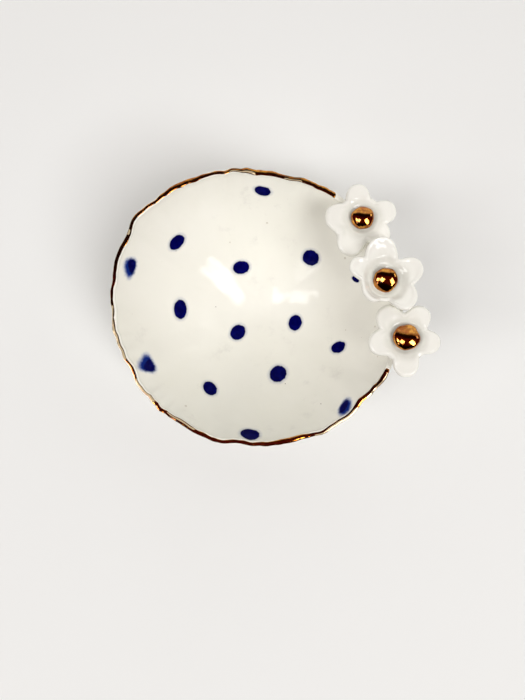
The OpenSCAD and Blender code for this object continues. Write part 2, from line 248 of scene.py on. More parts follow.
class Tree:
    """Short calls that build a procedural material."""

    def __init__(self, name):
        self.material = bpy.data.materials.new(name)
        self.material.use_nodes = True
        self.tree = self.material.node_tree
        self.tree.nodes.clear()
        out = self.add("ShaderNodeOutputMaterial")
        self.shader = self.add("ShaderNodeBsdfPrincipled")
        self.feed(out, "Surface", self.shader.outputs["BSDF"])
        self.coords = self.add("ShaderNodeTexCoord")

    def add(self, kind, **values):
        n = self.tree.nodes.new(kind)
        for key, value in values.items():
            setattr(n, key, value)
        return n

    def feed(self, n, key, value):
        socket = n.inputs[key]
        if isinstance(value, bpy.types.NodeSocket):
            self.tree.links.new(value, socket)
        else:
            socket.default_value = value

    def point(self):
        return self.coords.outputs["Object"]

    def math(self, operation, a, b=0.0, clamp=False):
        n = self.add("ShaderNodeMath", operation=operation, use_clamp=clamp)
        self.feed(n, 0, a)
        self.feed(n, 1, b)
        return n.outputs[0]

    def step(self, value, lo, hi, out_lo=0.0, out_hi=1.0):
        n = self.add("ShaderNodeMapRange", interpolation_type="SMOOTHSTEP")
        keys = ("Value", "From Min", "From Max", "To Min", "To Max")
        for key, x in zip(keys, (value, lo, hi, out_lo, out_hi)):
            self.feed(n, key, x)
        return n.outputs["Result"]

    def noise(self, per_mm, detail=2.0, roughness=0.5):
        n = self.add("ShaderNodeTexNoise")
        self.feed(n, "Vector", self.point())
        self.feed(n, "Scale", per_mm / MM)
        self.feed(n, "Detail", detail)
        self.feed(n, "Roughness", roughness)
        return n.outputs["Fac"]

    def mix(self, factor, a, b):
        n = self.add("ShaderNodeMix", data_type="RGBA")
        self.feed(n, 0, factor)
        self.feed(n, 6, a)
        self.feed(n, 7, b)
        return n.outputs[2]

    def bump(self, height, strength, distance_mm, normal=None):
        n = self.add("ShaderNodeBump")
        self.feed(n, "Height", height)
        self.feed(n, "Strength", strength)
        self.feed(n, "Distance", distance_mm * MM)
        if normal:
            self.feed(n, "Normal", normal)
        return n.outputs["Normal"]

    def set(self, **values):
        for key, value in values.items():
            self.feed(self.shader, key.replace("_", " "), value)


def rgb(r, g, b):
    return (r, g, b, 1.0)


# Colours of glazes, clay and slip
GLAZE = rgb(0.921, 0.914, 0.842)
GLAZE_POOL = rgb(0.900, 0.892, 0.810)
FLOWER_GLAZE = rgb(0.905, 0.90, 0.835)
FLOWER_GLAZE_POOL = rgb(0.89, 0.88, 0.815)
# Glaze pooled in the flowers' dimples and folds, darkened further as painted shade in the dimple, the cup's
# middle and the folds
FLOWER_POOL_AND_SHADE = rgb(0.72, 0.725, 0.64)
SLIP = rgb(0.82, 0.79, 0.72)
SLIP_POOL = rgb(0.76, 0.735, 0.68)
SMUDGE = rgb(0.76, 0.745, 0.69)
FAINT_SPECK = rgb(0.55, 0.50, 0.40)
DARK_SPECK = rgb(0.10, 0.055, 0.03)
BARE_CLAY = rgb(0.70, 0.64, 0.54)
BARE_CLAY_DARK = rgb(0.60, 0.54, 0.45)

# Colours of the gold lustre
GOLD = rgb(0.74, 0.34, 0.05)
GOLD_BROWN = rgb(0.42, 0.12, 0.012)
# Near-black of the line's rubbed edges, and of painted shade and dark reflection low on the beads
GOLD_DARK_WEAR_SHADE = rgb(0.09, 0.022, 0.006)
GOLD_PIT = rgb(0.16, 0.045, 0.01)
# Pale cream of the painted highlights on the gold line
GOLD_GLINT_PAINT = rgb(0.83, 0.68, 0.42)
GOLD_TINT = rgb(0.62, 0.26, 0.08)

# Colours of the brushed dots
HALO = rgb(0.25, 0.30, 0.44)
NAVY_DEEP = rgb(0.0004, 0.0004, 0.060)
NAVY_LIGHT = rgb(0.0016, 0.0022, 0.105)
BLEED = rgb(0.085, 0.17, 0.46)
RUN_BLUE = rgb(0.004, 0.020, 0.20)

# Blue dots: share of the way to the lip, angle, length and width in millimetres, turn, and for a dot whose
# colour ran the direction of the run, in degrees from its wide axis, and how three-cornered it dried
DOTS = [
    (0.21, 230, 6.9, 5.8, 90, 0),
    (0.36, 347, 6.4, 5.7, 4, 0),
    (0.40, 105, 6.7, 5.5, -5, 0),
    (0.55, 292, 7.5, 6.8, 60, 0),
    (0.60, 178, 7.5, 5.8, 0, 0),
    (0.64, 43, 6.9, 6.2, 55, 0),
    (0.72, 241, 6.3, 5.6, -45, 0),
    (0.72, 337, 6.1, 4.5, -60, 0),
    (0.785, 138, 6.8, 5.0, 0, 0),
    (0.813, 16.6, 3.4, 2.0, 45, 0),
    (0.925, 208.6, 5.3, 6.7, 0, -60, 0.15),
    (0.925, 85, 6.0, 4.3, -5, 0),
    (0.945, 161, 5.9, 4.4, 14, 30, 0.06),
    (0.97, 313, 6.2, 3.8, 30, -20, 0.0),
    (0.965, 269, 6.9, 6.0, -4, 0),
]
DOT_REACH = 3.0


def wall_frame(u, a):
    """A point of the inside, and its axes up the wall and along it."""
    here = inner(u, a)
    up = inner(u + 0.005, a) - inner(u - 0.005, a)
    up /= np.linalg.norm(up)
    side = np.array([-sind(a), cosd(a), 0.0])
    side -= up * np.dot(side, up)
    side /= np.linalg.norm(side)
    return here, up, side


def dot_axes(t, point, dot):
    """The point in the dot's own axes, by a Mapping node, so that the edge of the dot is 1 away."""
    u, a, length, width, turn = dot[:5]
    here, up, side = wall_frame(u, a)
    long_axis = side * cosd(turn) - up * sind(turn)
    wide_axis = up * cosd(turn) + side * sind(turn)
    axes = Matrix((wide_axis, long_axis, np.cross(wide_axis, long_axis))).transposed()
    n = t.add("ShaderNodeMapping", vector_type="TEXTURE")
    t.feed(n, "Vector", point)
    n.inputs["Location"].default_value = here * MM
    n.inputs["Rotation"].default_value = axes.to_euler()
    n.inputs["Scale"].default_value = Vector((width / 2, length / 2, DOT_REACH)) * MM
    return n.outputs["Vector"]


def distance(t, local):
    """1 at the edge of a dot and less inside it."""
    size = t.add("ShaderNodeVectorMath", operation="LENGTH")
    t.feed(size, 0, local)
    return size.outputs["Value"]


def bleeding_dot(t, point, dot):
    """The dot's distance, and how far the point lies towards the side on which the colour ran."""
    local = dot_axes(t, point, dot)
    far = distance(t, local)
    run = []
    for turn in (0, 90):
        n = t.add("ShaderNodeVectorMath", operation="DOT_PRODUCT")
        t.feed(n, 0, local)
        n.inputs[1].default_value = (cosd(dot[5] + turn), sind(dot[5] + turn), 0)
        run.append(n.outputs["Value"])
    x, y = run
    corner = t.math("SUBTRACT", t.math("POWER", x, 2.0), t.math("MULTIPLY", t.math("POWER", y, 2.0), 3.0))
    square = t.math("MAXIMUM", t.math("POWER", far, 2.0), 0.01)
    corner = t.math("DIVIDE", t.math("MULTIPLY", corner, x), square)
    return t.math("ADD", far, t.math("MULTIPLY", corner, dot[6])), x


def wobble(t, per_mm, reach_mm):
    """The shading point, pushed about by soft noise."""
    n = t.add("ShaderNodeTexNoise")
    t.feed(n, "Vector", t.point())
    t.feed(n, "Scale", per_mm / MM)
    centred = t.add("ShaderNodeVectorMath", operation="SUBTRACT")
    t.feed(centred, 0, n.outputs["Color"])
    centred.inputs[1].default_value = (0.5, 0.5, 0.5)
    moved = t.add("ShaderNodeVectorMath", operation="MULTIPLY_ADD")
    t.feed(moved, 0, centred.outputs["Vector"])
    moved.inputs[1].default_value = (reach_mm * MM * 2,) * 3
    t.feed(moved, 2, t.point())
    return moved.outputs["Vector"]


def specks(t, cell_mm, share, size):
    """Tiny round specks: a few of the Voronoi cells hold one."""
    v = t.add("ShaderNodeTexVoronoi")
    t.feed(v, "Vector", t.point())
    t.feed(v, "Scale", 1 / (cell_mm * MM))
    pick = t.add("ShaderNodeSeparateColor")
    t.feed(pick, 0, v.outputs["Color"])
    chosen = t.math("LESS_THAN", pick.outputs[0], share)
    radius = t.math("MULTIPLY", pick.outputs[1], size)
    spot = t.math("LESS_THAN", v.outputs["Distance"], radius)
    return t.math("MULTIPLY", chosen, spot)


def height_above(t):
    """Height of the shading point over the foot, in metres."""
    n = t.add("ShaderNodeSeparateXYZ")
    t.feed(n, 0, t.point())
    return n.outputs["Z"]


GLOSS = 0.28
FLOWER_GLOSS = 0.42


def glaze_material(name, body, pool, speck_share, wave_mm=0.0):
    """Clear gloss glaze over pale clay: slow colour drift, smudges, finger waves, specks and orange peel."""
    t = Tree(name)
    drift = t.noise(0.03, 3.0)
    colour = t.mix(t.step(drift, 0.35, 0.7), body, pool)
    smudge = t.step(t.noise(0.11, 5.0, 0.7), 0.56, 0.74, 0.0, 0.55)
    smudge = t.math("MULTIPLY", smudge, t.step(drift, 0.4, 0.6))
    colour = t.mix(smudge, colour, SMUDGE)
    faint = specks(t, 5.1, 2 * speck_share, 0.12)
    colour = t.mix(t.math("MULTIPLY", faint, 0.5), colour, FAINT_SPECK)
    spots = specks(t, 3.2, speck_share, 0.07)
    colour = t.mix(spots, colour, DARK_SPECK)
    waves = t.noise(0.09, 2.0)
    peel = t.noise(0.7, 2.0)
    normal = t.bump(peel, 0.25, 0.05, t.bump(waves, 0.5, 0.25))
    normal = t.bump(t.noise(1.6, 1.0), 0.6, 0.03, t.bump(t.noise(0.17, 1.0), 1.0, 0.2, normal))
    if wave_mm:
        normal = t.bump(t.noise(0.2, 1.0), 1.0, wave_mm, normal)
    roughness = t.step(t.noise(0.2, 4.0), 0.3, 0.8, 0.05, 0.14)
    t.set(Roughness=roughness, Normal=normal, Specular_IOR_Level=GLOSS)
    return t, colour, roughness


def bowl_material():
    """Glazed clay with the brushed dots on its inside, some with a run of paler blue, and a bare foot."""
    t, colour, roughness = glaze_material("bowl_glaze", GLAZE, GLAZE_POOL, 0.10)
    point = wobble(t, 0.45, 0.3)
    crisp = None
    for dot in (d for d in DOTS if not d[5]):
        d = distance(t, dot_axes(t, point, dot))
        crisp = d if crisp is None else t.math("MINIMUM", crisp, d)
    grain = t.math("MULTIPLY", t.math("SUBTRACT", t.noise(0.9, 3.0), 0.5), 0.16)
    edge = t.math("ADD", crisp, grain)
    navy = t.mix(t.step(t.noise(0.5, 3.0), 0.35, 0.75), NAVY_DEEP, NAVY_LIGHT)
    inside = t.add("ShaderNodeAttribute", attribute_name="inside").outputs["Fac"]
    inked = t.step(edge, 1.09, 0.97)
    clay = colour
    colour = t.mix(t.step(edge, 1.5, 1.0, 0.0, 0.42), colour, HALO)
    colour = t.mix(inked, colour, navy)
    for dot in (d for d in DOTS if d[5]):
        d, outward = bleeding_dot(t, point, dot)
        reach = t.math("ADD", d, t.math("MULTIPLY", grain, 2.0))
        soft = t.math("SUBTRACT", reach, t.math("MULTIPLY", t.math("MAXIMUM", outward, 0.0), 0.30))
        colour = t.mix(t.step(soft, 1.55, 0.75, 0.0, 0.9), colour, BLEED)
        wet = t.step(soft, 1.2, 0.70)
        colour = t.mix(wet, colour, RUN_BLUE)
        body = t.math("ADD", reach, t.step(outward, -0.1, 0.9, 0.0, 0.55))
        dark = t.step(body, 1.30, 0.72)
        colour = t.mix(dark, colour, navy)
        inked = t.math("MAXIMUM", inked, t.math("MAXIMUM", dark, wet))
    colour = t.mix(inside, clay, colour)
    inked = t.math("MULTIPLY", inked, inside)
    bare = t.step(height_above(t), 0.9 * MM, 0.4 * MM)
    colour = t.mix(bare, colour, t.mix(t.noise(0.8, 5.0), BARE_CLAY, BARE_CLAY_DARK))
    t.set(Base_Color=colour)
    t.set(Roughness=t.math("ADD", roughness, t.math("MULTIPLY", bare, 0.6), clamp=True))
    t.set(Specular_IOR_Level=t.step(inked, 0.0, 1.0, GLOSS, 0.1))
    t.set(IOR=t.step(inked, 0.0, 1.0, 1.5, 1.2))
    return t.material


def flower_material():
    """Glazed clay, darker in the dimple, in the cup's middle, between the petals and a little on the back:
    glaze pooled there, with painted shade.
    """
    t, colour = glaze_material("flower_glaze", FLOWER_GLAZE, FLOWER_GLAZE_POOL, 0.02, 0.6)[:2]
    # The pool number is glaze pooling with painted shade: full in the dimple, strong in the cup's middle and
    # the folds, slight on the back
    pool = t.add("ShaderNodeAttribute", attribute_name="pool")
    deep = t.math("MULTIPLY", pool.outputs["Fac"], t.step(t.noise(0.5, 2.0), 0.2, 0.6, 0.6, 1.0))
    t.set(Base_Color=t.mix(deep, colour, FLOWER_POOL_AND_SHADE), Specular_IOR_Level=FLOWER_GLOSS)
    return t.material


def slip_material():
    t, colour = glaze_material("joining_slip", SLIP, SLIP_POOL, 0.03)[:2]
    t.set(Base_Color=colour)
    return t.material


def gold_material():
    """Fired lustre: a mirror of warm gold with red-brown patches, dark rubbed edges, pits, painted highlights
    of pale cream on the line and painted shade low on the beads.
    """
    t = Tree("gold_lustre")
    tone = t.mix(t.step(t.noise(0.42, 4.0, 0.6), 0.38, 0.62), GOLD, GOLD_BROWN)
    # Dark patches: rubbed edges of the gold line, wider round its painted highlights, and painted shade and
    # dark reflection low on the beads' sides
    thin = t.add("ShaderNodeAttribute", attribute_name="thin").outputs["Fac"]
    # The pale number places the painted highlights on the gold line
    pale = t.add("ShaderNodeAttribute", attribute_name="pale").outputs["Fac"]
    dark_wear_and_shade = t.math("MULTIPLY", thin, t.step(t.math("ADD", t.noise(0.5, 3.0), pale), 0.32, 0.54))
    tone = t.mix(dark_wear_and_shade, tone, GOLD_DARK_WEAR_SHADE)
    pits = specks(t, 0.9, 0.25, 0.10)
    tone = t.mix(pits, tone, GOLD_PIT)
    # Painted highlights: pale cream, less metallic, where the windows' glints fall on the line
    bare = t.step(t.math("ADD", pale, t.math("MULTIPLY", t.noise(0.6, 3.0), 0.5)), 0.55, 0.80)
    bare = t.math("MULTIPLY", bare, t.math("SUBTRACT", 1.0, dark_wear_and_shade))
    tone = t.mix(bare, tone, GOLD_GLINT_PAINT)
    normal = t.bump(t.noise(1.6, 3.0), 0.25, 0.05, t.bump(t.noise(0.25, 2.0), 0.4, 0.3))
    t.set(Base_Color=tone, Metallic=t.step(bare, 0.0, 1.0, 1.0, 0.35), Specular_Tint=GOLD_TINT)
    t.set(Roughness=t.step(t.noise(0.8, 3.0), 0.3, 0.75, 0.035, 0.10), Normal=normal)
    t.set(Coat_Weight=0.75, Coat_Roughness=0.03)
    return t.material


# Bowl: a fine skin with the hollows and swellings that fingers leave
BOWL_AROUND = 540
INNER_RINGS = 96
LIP_RINGS = 12
OUTER_RINGS = 72
FOOT_RINGS = 10


def build_bowl():
    a = np.arange(BOWL_AROUND) * 360 / BOWL_AROUND
    rings = []
    for i in range(1, INNER_RINGS + 1):
        u = i / INNER_RINGS
        ring = inner(u, a)
        held = smooth(u, 0.02, 0.3) * smooth(1 - u, 0.0, 0.12)
        ring[:, 2] += FINGER_DEPTH * held * rough(ring, 16, 1)
        rings.append(ring)
    rings += [lip(a, 180 * (1 - i / LIP_RINGS)) for i in range(LIP_RINGS + 1)]
    for i in range(OUTER_RINGS + 1):
        v = 1 - i / OUTER_RINGS
        ring = outer(v, a)
        held = smooth(v, 0.0, 0.15) * smooth(1 - v, 0.0, 0.15)
        ring[:, 2] += FINGER_DEPTH * held * rough(ring, 14, 2)
        rings.append(ring)
    for i in range(1, FOOT_RINGS):
        r = FOOT_R * (1 - i / FOOT_RINGS)
        rings.append(polar(r, a, FOOT_HOLLOW * smooth(1 - r / FOOT_R, 0.1, 0.5)))
    obj = skin("bowl_body", (0, 0, FLOOR_T), rings, (0, 0, FOOT_HOLLOW))
    within = np.arange(len(rings)) < INNER_RINGS + LIP_RINGS / 2
    paint(obj, "inside", np.concatenate([[1, 0], np.repeat(within, BOWL_AROUND)]))
    return obj


# Gold line: a crescent over the lip whose edges wander as a brush leaves them
GOLD_SECTIONS = 620
GOLD_ACROSS = 18
# How deep the line's underside lies in the lip, and how far its edges stand proud of it
GOLD_BITE = 0.06
GOLD_EDGE = 0.03
# Width of the line every 15 degrees in millimetres, and where on the lip it sits every 30 degrees
GOLD_W = [1.6, 1.6, 1.6, 1.9, 1.85, 1.75, 2.0, 1.25, 1.95, 1.2, 1.6, 1.35, 0.95, 1.2, 1.0, 1.35, 1.8, 1.5,
          1.5, 2.2, 1.5, 1.9, 2.0, 1.6]
GOLD_LEAN = [90, 90, 98, 92, 92, 84, 84, 92, 90, 86, 82, 88]

# Painted highlights: pale cream places on the line where the windows' glints fall: angle, reach along the
# line in degrees, place across the line from -1 inside to 1 outside, and reach across
PAINTED_GLINTS = [(72, 5, -0.45, 0.6), (94, 7, -0.45, 0.6), (148.7, 1.3, 0.2, 0.5), (191, 15, 0, 0.9), (218, 8, 0, 0.8),
        (238, 9, -0.4, 0.6), (306, 13, 0.3, 0.6), (328, 8, 0.45, 0.5)]


# Share of painted highlight at a place on the gold line
def painted_glint_share(a, across):
    total = 0
    for at, reach, place, wide in PAINTED_GLINTS:
        lengthwise = smooth(1 - abs(a - at) / reach, 0, 0.5)
        total = total + lengthwise * smooth(1 - np.abs(across - place) / wide, 0, 0.5)
    return np.minimum(1, total)


def build_gold():
    sections, pale, thin = [], [[0, 0]], [[1, 1]]
    across = np.linspace(-1, 1, GOLD_ACROSS)
    for a in np.linspace(GOLD_START, GOLD_END, GOLD_SECTIONS):
        here = np.array([polar(rim_r(a), a, 0)])
        slow = float(rough(here, 9, 3)[0])
        wander = float(rough(here, 3, 5)[0])
        fine = float(rough(here, 1.4, 4)[0])
        end = float(smooth(min(a - GOLD_START, GOLD_END - a), 0, 0.8))
        hook = float(1 - smooth(a - GOLD_START, 0, 1.4))
        middle = float(along(GOLD_LEAN, a)) + 6 * slow + 28 * hook
        reach = float(along(GOLD_W, a)) / (LIP_T + 2 * GOLD_T) * (1 + 0.12 * wander)
        reach = min(0.97, reach) ** (1 / LIP_CORNER)
        half = (math.degrees(math.asin(reach)) + 3 * fine) * (0.4 + 0.6 * end)
        steps = np.linspace(middle + half, middle - half, GOLD_ACROSS)
        under = [lip(a, b, -GOLD_BITE) for b in steps]
        crest = np.sqrt(np.clip(1 - across**2, 0, 1)) * (0.4 + 0.6 * end)
        over = [lip(a, b, GOLD_EDGE + GOLD_T * c) for b, c in zip(steps, crest)]
        sections.append(np.array(under + over[::-1]))
        # Painted highlights where the windows' glints fall, with wider dark edges round them
        glint_share = painted_glint_share(a, across)
        # Dark rubbed edges of the line, made wider round the painted highlights
        edge = smooth(np.abs(across), 0.72 - 0.46 * glint_share.max(), 0.95 - 0.42 * glint_share.max())
        pale += [glint_share, glint_share[::-1]]
        thin += [edge, edge]
    obj = bar("gold_line", sections)
    paint(obj, "pale", np.concatenate(pale))
    paint(obj, "thin", np.concatenate(thin))
    return obj


class Flower:
    """One flower's shape and stand, in millimetres and degrees.

    The centre stands at an angle on the rim, and its inset inside it. first turns the first petal. rise is
    how far the petals rise, spoon the share of that which is added between them, puff the height of their
    swelling, hollow the depth of the hollow inside their rims. The flower leans down towards lean_to, counted
    from its angle. bead_sit holds how flat its bead is, how far it tips, and the angle of its raised side.
    lift raises the whole flower.
    """

    def __init__(self, name, angle, inset, length, first, petals, rise, spoon, lean, lean_to, bead_r,
                 bead_sit, puff, hollow, lift=0.0):
        self.name = name
        self.angle = angle
        self.inset = inset
        self.length = length
        self.lengths = [length * p[0] for p in petals]
        self.at = [angle + first - PETAL_TURN * k + p[1] for k, p in enumerate(petals)]
        self.between = [at - PETAL_TURN / 2 for at in self.at]
        self.halves = [PETAL_HALF * p[2] for p in petals]
        self.valleys = [VALLEY_R * p[3] for p in petals]
        self.cups = [rise * p[4] for p in petals]
        self.spoon = rise * spoon
        self.lean = lean
        self.lean_to = angle + lean_to
        self.bead_r = bead_r
        self.bead_z = BEAD_FLOOR + BEAD_SINK * BEAD_RISE * bead_r
        self.bead_sit = bead_sit
        self.puff = puff
        self.hollow = hollow
        self.lift = lift
        self.centre = self.place()

    def lobe(self, k, a):
        """How much petal k takes part at an angle, from 0 to 1."""
        x = np.minimum(1, np.abs(wrap(a - self.at[k])) / self.halves[k])
        return np.maximum(0, cosd(90 * x**PETAL_BLUNT)) ** PETAL_POWER

    def outline(self, a):
        valley = blend(self.valleys, self.between, a)
        reach = [np.maximum(0, self.lengths[k] - valley) * self.lobe(k, a) for k in range(PETALS)]
        return valley + sum(x**PETAL_JOIN for x in reach) ** (1 / PETAL_JOIN)

    def cup(self, a):
        return blend(self.cups, self.at, a)

    def fold(self, a):
        """1 in the valley between two petals and 0 at their middles."""
        lobes = sum(self.lobe(k, a) ** PETAL_JOIN for k in range(PETALS))
        return np.maximum(0, 1 - lobes ** (1 / PETAL_JOIN))

    def share(self, r):
        """Share of the way from the edge of the flat back to the mean petal tip, 0 on the flat."""
        return np.maximum(0, (r - FLAT_R) / (self.length - FLAT_R))

    def under(self, r, a):
        t = self.share(r)
        wall = 0.42 * smooth(t, 0, 0.38) + 0.08 * t + 0.5 * t**CUP_POWER
        return self.cup(a) * wall + self.spoon * self.fold(a) * t

    def over(self, r, a):
        return self.under(r, a) + FLOWER_T + (PETAL_T - FLOWER_T) * np.minimum(1, self.share(r))

    def drop(self, p, c):
        """How far the leaning flower's back lies below its centre c at a point p."""
        x = (p[..., 0] - c[0]) * cosd(self.lean_to) + (p[..., 1] - c[1]) * sind(self.lean_to)
        return np.tan(np.radians(self.lean)) * x

    def place(self):
        c = polar(rim_r(self.angle) - self.inset, self.angle, 0)
        reach = math.degrees(self.length / RIM_R)
        a = np.arange(self.angle - reach, self.angle + reach + 1e-6, PLACE_STEP)
        tops = [lip(a, b)[:, 2] + SEAT_H + self.drop(lip(a, b), c) for b in range(0, 181, 45)]
        c[2] = self.lift + np.max(tops)
        return c

    def matrix(self):
        turn = Matrix.Rotation(math.radians(self.lean_to), 4, "Z")
        lean = Matrix.Rotation(math.radians(self.lean), 4, "Y")
        return Matrix.Translation(Vector(self.centre) * MM) @ turn @ lean @ turn.inverted()

    def stand(self, obj):
        obj.data.transform(self.matrix())
        return obj


BACK_BEAD, MID_BEAD, FRONT_BEAD = 3.95, 4.15, 4.5
BACK_LEN, MID_LEN, FRONT_LEN = 12.6, 14.0, 13.2
MID_ANGLE, MID_INSET = 10.3, 5.7
BACK_ARC = BACK_LEN + MID_LEN - BACK_LAP
FRONT_ARC = FRONT_LEN + MID_LEN - FRONT_LAP
BACK_ANGLE = MID_ANGLE + math.degrees(BACK_ARC / (RIM_R - MID_INSET))
FRONT_ANGLE = MID_ANGLE - math.degrees(FRONT_ARC / RIM_R)

# For each petal, clockwise from the first one: share of the length, swing, width, valley after it, rise
BACK_PETALS = [(0.97, 1, 1, 0.89, 1), (0.98, -9, 1, 0.97, 0.6), (0.95, 4, 1, 0.98, 0),
               (1.10, 5, 1.05, 1.2, 0.75), (1.03, 3, 1, 1, 1)]
MIDDLE_PETALS = [(1.03, 7, 1.25, 1, 1.1), (0.98, 4, 1, 1.14, 0.81), (0.93, 8, 1.1, 0.82, 0.86),
                 (0.66, -12, 1, 1, 1.24), (0.98, -9, 0.8, 1.12, 0.95)]
FRONT_PETALS = [(1.02, 0, 1, 1.02, 0.25), (0.96, 0, 1, 0.94, 0.4), (0.92, 4, 1, 0.97, 1),
                (1.05, -1, 1, 1.02, 1), (0.99, -8, 1, 1.09, 1)]
FLOWERS = [
    Flower("back", angle=BACK_ANGLE, inset=1.5, length=BACK_LEN, first=59.9, petals=BACK_PETALS, rise=0.8,
           spoon=0.38, lean=3, lean_to=180, bead_r=BACK_BEAD, bead_sit=(0.60, 7, 35), puff=0.30, hollow=0.15),
    Flower("middle", angle=MID_ANGLE, inset=MID_INSET, length=MID_LEN, first=81.5, petals=MIDDLE_PETALS,
           rise=4.2, spoon=0.19, lean=5, lean_to=40, bead_r=MID_BEAD, bead_sit=(0.43, 25, 48), puff=0.2,
           hollow=0.5, lift=PETAL_T + LAP_GAP - LAP_LIFT),
    Flower("front", angle=FRONT_ANGLE, inset=-1.8, length=FRONT_LEN, first=140, petals=FRONT_PETALS,
           rise=0.8, spoon=0.38, lean=6, lean_to=180, bead_r=FRONT_BEAD, bead_sit=(0.50, 6, -30), puff=0.30,
           hollow=0.15),
]

FLOWER_AROUND = 240
# Width of a petal's rounded edge, and depth of the dents in its top
EDGE = 1.5
DENT = 0.10


def build_flower(f, seed):
    """A flower from the dimple's floor over its petals and their rounded edge to the flat back."""
    a = np.arange(FLOWER_AROUND) * 360 / FLOWER_AROUND
    edge_r = f.outline(a)
    fold = f.fold(a)
    floor_r = 0.8 * f.bead_r
    floor_z = FLOWER_T - DIMPLE_D
    start = f.bead_r + DIMPLE_GAP + 0.6
    # Each ring's pool number darkens the glaze: glaze pooling with painted shade in the dimple, the cup's
    # middle and the folds between petals
    rings, pool_and_shade_rings = [], []

    def add(ring, pool):
        rings.append(ring)
        pool_and_shade_rings.append(np.broadcast_to(np.asarray(pool, float), a.shape))

    for s in (0.5, 1.0):
        add(polar(floor_r * s, a, floor_z), 1)
    for s in np.linspace(0, 1, 9)[1:]:
        r = floor_r + (start - floor_r) * s
        pool = 1 - (0.5 - 0.3 * f.hollow) * smooth(s, 0.3, 1)
        add(polar(r, a, floor_z + DIMPLE_D * smooth(s, 0.3, 0.95)), pool)
    crown = np.maximum(edge_r - EDGE, start + 0.2)
    full = smooth(crown - start, 0.4, 4)
    for s in np.linspace(0, 1, 25)[1:]:
        r = start + (crown - start) * s
        ring = polar(r, a, f.over(r, a))
        ring[:, 2] += f.puff * full * smooth(s, 0, 0.55) * (1 - 0.35 * smooth(s, 0.7, 1.0))
        ring[:, 2] += f.hollow * full * (smooth(s, 0.75, 1.0) - smooth(s, 0.3, 0.75) * 0.4) * 0.6
        ring[:, 2] += DENT * smooth(s, 0, 0.4) * rough(ring, 4, seed)
        # Painted shade in the cup's middle, reaching further in a deeper cup, and in the folds between petals
        centre = (0.5 + 0.3 * f.hollow) * (1 - smooth(s, 0.0, 0.35 + 0.8 * f.hollow))
        add(ring, np.maximum(centre, 0.5 * smooth(fold, 0.1, 1) * (1 - smooth(s, 0.5, 1))))
    crown_z = rings[-1][:, 2] - f.over(crown, a)
    waist = PETAL_T * 0.6
    for q in np.linspace(0, 90, 9)[1:]:
        r = crown + (edge_r - crown) * sind(q)
        add(polar(r, a, f.over(r, a) + crown_z - waist * (1 - cosd(q))), 0)
    keel = rings[-1][:, 2] - f.under(edge_r, a)
    for q in np.linspace(90, 180, 8)[1:]:
        r = crown + (edge_r - crown) * sind(q)
        add(polar(r, a, f.under(r, a) + keel * (1 + cosd(q))), 0)
    for s in np.linspace(0, 1, 11)[1:]:
        r = crown + (FLAT_R - crown) * s
        add(polar(r, a, f.under(r, a)), 0.2 * s)
    add(polar(FLAT_R / 2, a, 0), 0.2)
    obj = skin("flower_" + f.name + "_petals", (0, 0, floor_z), rings, (0, 0, 0))
    paint(obj, "pool", np.concatenate([[1, 0.2], np.concatenate(pool_and_shade_rings)]))
    return f.stand(obj)


BEAD_AROUND = 96
BEAD_RINGS = 56


def build_bead(f, seed):
    """A hand-rolled ball, pressed flatter, tipped a little and a little lopsided, cut flat where it sits."""
    a = np.arange(BEAD_AROUND) * 360 / BEAD_AROUND
    flat, tip, tip_to = f.bead_sit
    turn = Matrix.Rotation(math.radians(tip_to), 3, "Z")
    tipped = np.array(turn @ Matrix.Rotation(math.radians(-tip), 3, "Y") @ turn.inverted())
    floor_z = FLOWER_T - DIMPLE_D

    def place(ring):
        ring = ring @ tipped.T
        ring[:, 2] = np.maximum(floor_z, ring[:, 2] + f.bead_z + 0.2 * sind(tip))
        return ring

    rings = []
    for q in np.linspace(0, 180, BEAD_RINGS + 2)[1:-1]:
        ring = polar(f.bead_r * sind(q), a, f.bead_r * flat * cosd(q))
        ring[:, :2] *= 1 + 0.06 * rough(ring * (1, 1, 0.5), 2.6, seed)[:, None]
        rings.append(place(ring))
    poles = [place(np.array([[0, 0, f.bead_r * flat * k]])) for k in (1, -1)]
    obj = skin("bead_" + f.name + "_ball", poles[0][0], rings, poles[1][0])
    # Painted shade and dark reflection on the bead's side below its widest place
    low = smooth(np.linspace(0, 180, BEAD_RINGS + 2)[1:-1], 70, 84)
    paint(obj, "thin", np.concatenate([[0, 1], np.repeat(low, BEAD_AROUND)]))
    return f.stand(obj)


SEAT_SECTIONS = 40
SEAT_CURVE = 10


def bend(p, c, q, n):
    """Curve of n points from p to q that is drawn towards c."""
    t = np.linspace(0, 1, n)[:, None]
    return (1 - t) ** 2 * p + 2 * t * (1 - t) * c + t**2 * q


